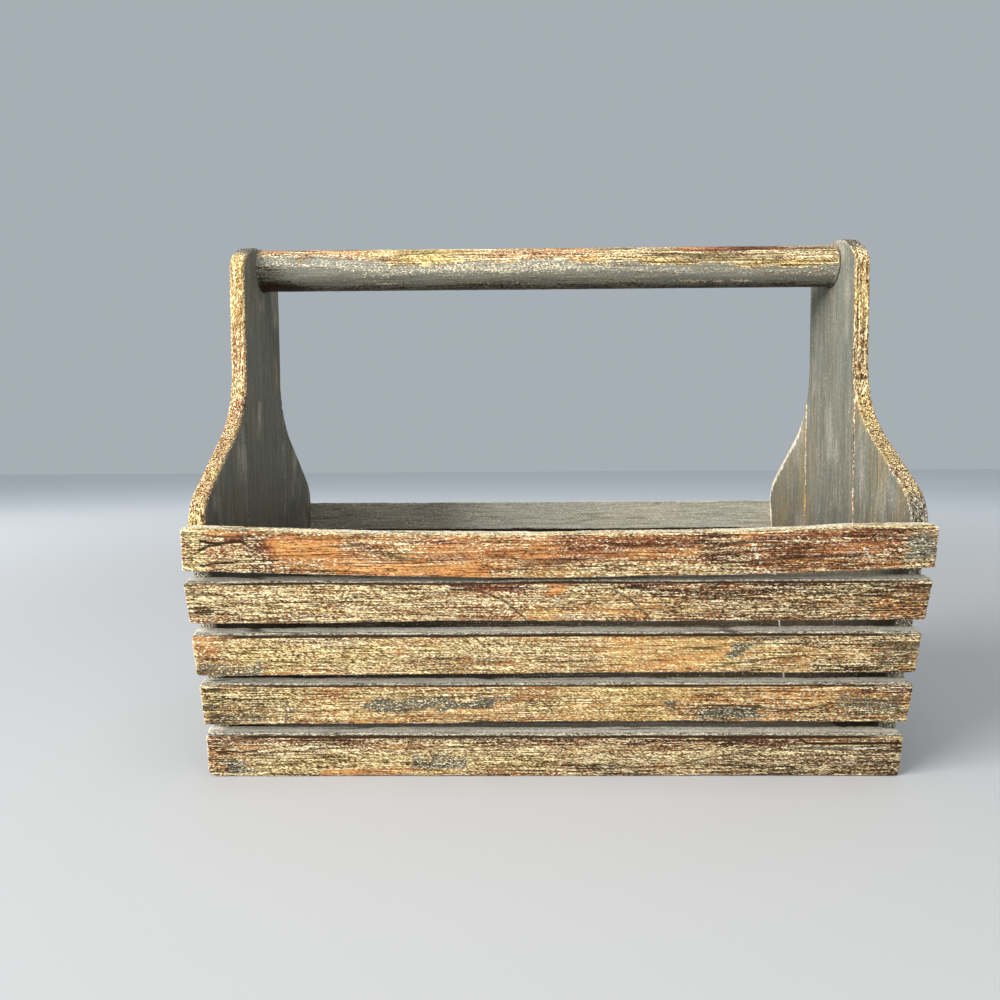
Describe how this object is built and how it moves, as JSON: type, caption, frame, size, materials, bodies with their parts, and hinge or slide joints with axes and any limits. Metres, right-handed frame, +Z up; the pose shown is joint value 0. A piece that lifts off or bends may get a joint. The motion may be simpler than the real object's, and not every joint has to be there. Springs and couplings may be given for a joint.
{
  "type": "trug garden basket",
  "caption": "Slatted wooden garden trug with leaning slat sides, shaped end boards and a fixed round rod handle between their necks.",
  "frame": {"origin": "on the ground under the middle of the basket", "axes": "+X along the slats and the handle, +Y to the back, +Z up"},
  "size_m": [0.45, 0.2586, 0.366],
  "materials": {
    "slat_wood": "rough-sawn, stained and worn through layered paint",
    "end_board_paint": "worn grey-green paint, bare along the edges",
    "bottom_wood": "thin worn paint on rough-sawn wood",
    "handle_wood": "painted round rod, worn to the wood along its top",
    "nail_steel": "dull, lightly rusted",
    "screw_steel": "dull zinc"
  },
  "bodies": {
    "root": {"front_slat_1": "slat_wood", "front_slat_2": "slat_wood", "front_slat_3": "slat_wood", "front_slat_4": "slat_wood", "front_slat_5": "slat_wood", "back_slat_1": "slat_wood", "back_slat_2": "slat_wood", "back_slat_3": "slat_wood", "back_slat_4": "slat_wood", "back_slat_5": "slat_wood", "left_end_front_plank": "end_board_paint", "left_end_middle_plank": "end_board_paint", "left_end_back_plank": "end_board_paint", "right_end_front_plank": "end_board_paint", "right_end_middle_plank": "end_board_paint", "right_end_back_plank": "end_board_paint", "bottom_board_1": "bottom_wood", "bottom_board_2": "bottom_wood", "bottom_board_3": "bottom_wood", "bottom_board_4": "bottom_wood", "bottom_board_5": "bottom_wood", "handle_rod": "handle_wood", "front_left_slat_nails": "nail_steel", "back_left_slat_nails": "nail_steel", "left_bottom_nails": "nail_steel", "left_handle_screw": "screw_steel", "front_right_slat_nails": "nail_steel", "back_right_slat_nails": "nail_steel", "right_bottom_nails": "nail_steel", "right_handle_screw": "screw_steel"}
  },
  "joints": []
}
